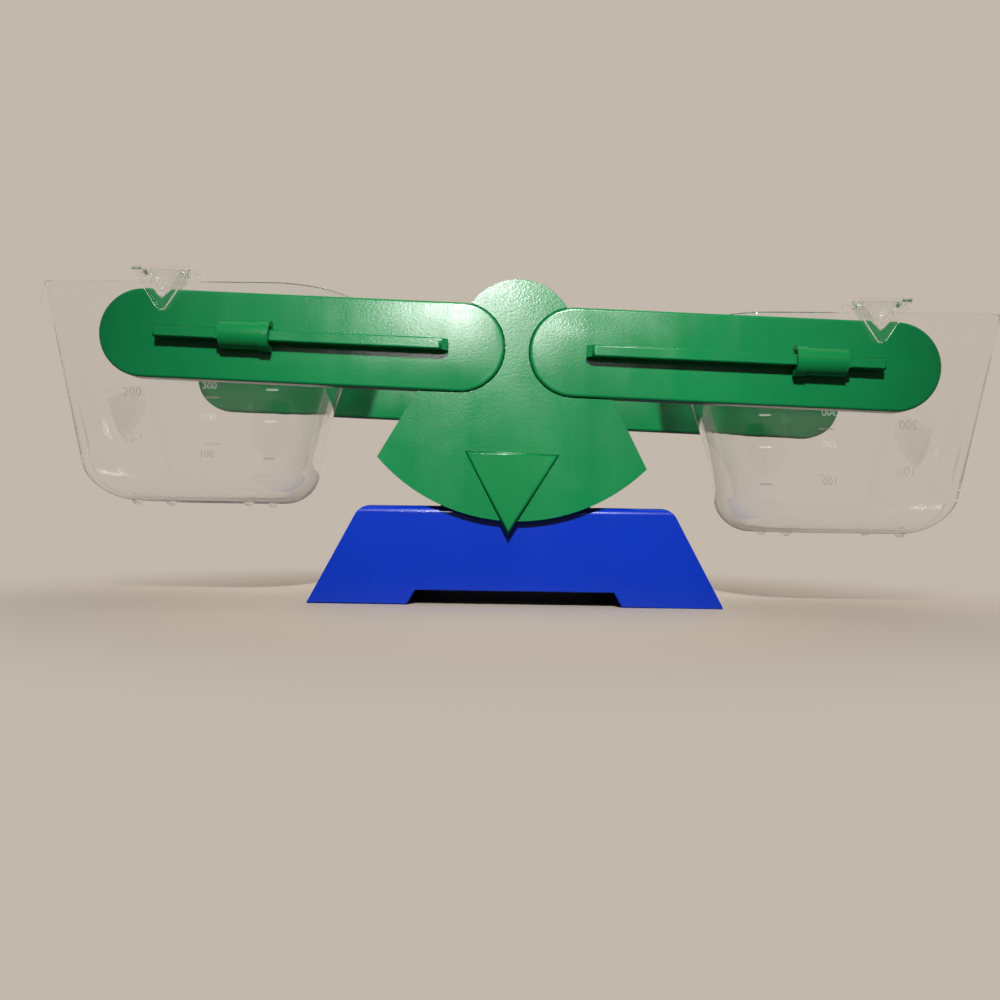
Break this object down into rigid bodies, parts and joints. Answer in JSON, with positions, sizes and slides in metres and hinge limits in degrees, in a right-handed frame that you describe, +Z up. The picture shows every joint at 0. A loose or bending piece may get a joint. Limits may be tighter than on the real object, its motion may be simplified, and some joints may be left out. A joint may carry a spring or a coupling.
{
  "type": "bucket balance",
  "caption": "Plastic bucket balance: a green beam rocks on a blue stand under a yellow cap, with clear spouted buckets hung in notches and sliders that level the beam.",
  "frame": {"origin": "on the table, at the middle of the stand under the pivot", "axes": "+Z up, +X along the beam, front with the visible pointer towards -Y"},
  "size_m": [0.3741, 0.1234, 0.1125],
  "materials": {
    "stand_blue": "smooth satin moulding",
    "cap_yellow": "smooth satin moulding",
    "beam_green": "fine matt mould texture",
    "trim_green": "satin moulding",
    "bucket_clear": "clear, polished",
    "axle_steel": "drawn rod"
  },
  "bodies": {
    "stand": {"base_shell": "stand_blue", "bearing_cap": "cap_yellow"},
    "beam": {"pivot_axle": "axle_steel", "front_hub": "beam_green", "rear_hub": "beam_green", "front_pointer": "trim_green", "rear_pointer": "trim_green", "front_left_arm": "beam_green", "front_right_arm": "beam_green", "rear_left_arm": "beam_green", "rear_right_arm": "beam_green"},
    "front_left_slider": {"front_left_slider": "trim_green"},
    "front_right_slider": {"front_right_slider": "trim_green"},
    "rear_left_slider": {"rear_left_slider": "trim_green"},
    "rear_right_slider": {"rear_right_slider": "trim_green"},
    "left_bucket": {"left_bucket": "bucket_clear"},
    "right_bucket": {"right_bucket": "bucket_clear"}
  },
  "joints": [
    {"name": "beam_rock", "type": "hinge", "parent": "stand", "child": "beam", "pos_m": [0, 0, 0.0905], "axis": [0, 1, 0], "range_deg": [-10, 6]},
    {"name": "front_left_slider_travel", "type": "slide", "parent": "beam", "child": "front_left_slider", "axis": [-0.9994, 0, 0.0349], "range_m": [-0.0565, 0.0215]},
    {"name": "front_right_slider_travel", "type": "slide", "parent": "beam", "child": "front_right_slider", "axis": [0.9994, 0, -0.0349], "range_m": [-0.066, 0.012]},
    {"name": "rear_left_slider_travel", "type": "slide", "parent": "beam", "child": "rear_left_slider", "axis": [-0.9994, 0, 0.0349], "range_m": [-0.0245, 0.0535]},
    {"name": "rear_right_slider_travel", "type": "slide", "parent": "beam", "child": "rear_right_slider", "axis": [0.9994, 0, -0.0349], "range_m": [-0.0534, 0.0246]},
    {"name": "left_bucket_swing", "type": "hinge", "parent": "beam", "child": "left_bucket", "pos_m": [-0.1196, 0, 0.10401], "axis": [0, 1, 0], "range_deg": [-7, 11]},
    {"name": "right_bucket_swing", "type": "hinge", "parent": "beam", "child": "right_bucket", "pos_m": [0.12025, 0, 0.09564], "axis": [0, 1, 0], "range_deg": [-7, 11]}
  ]
}
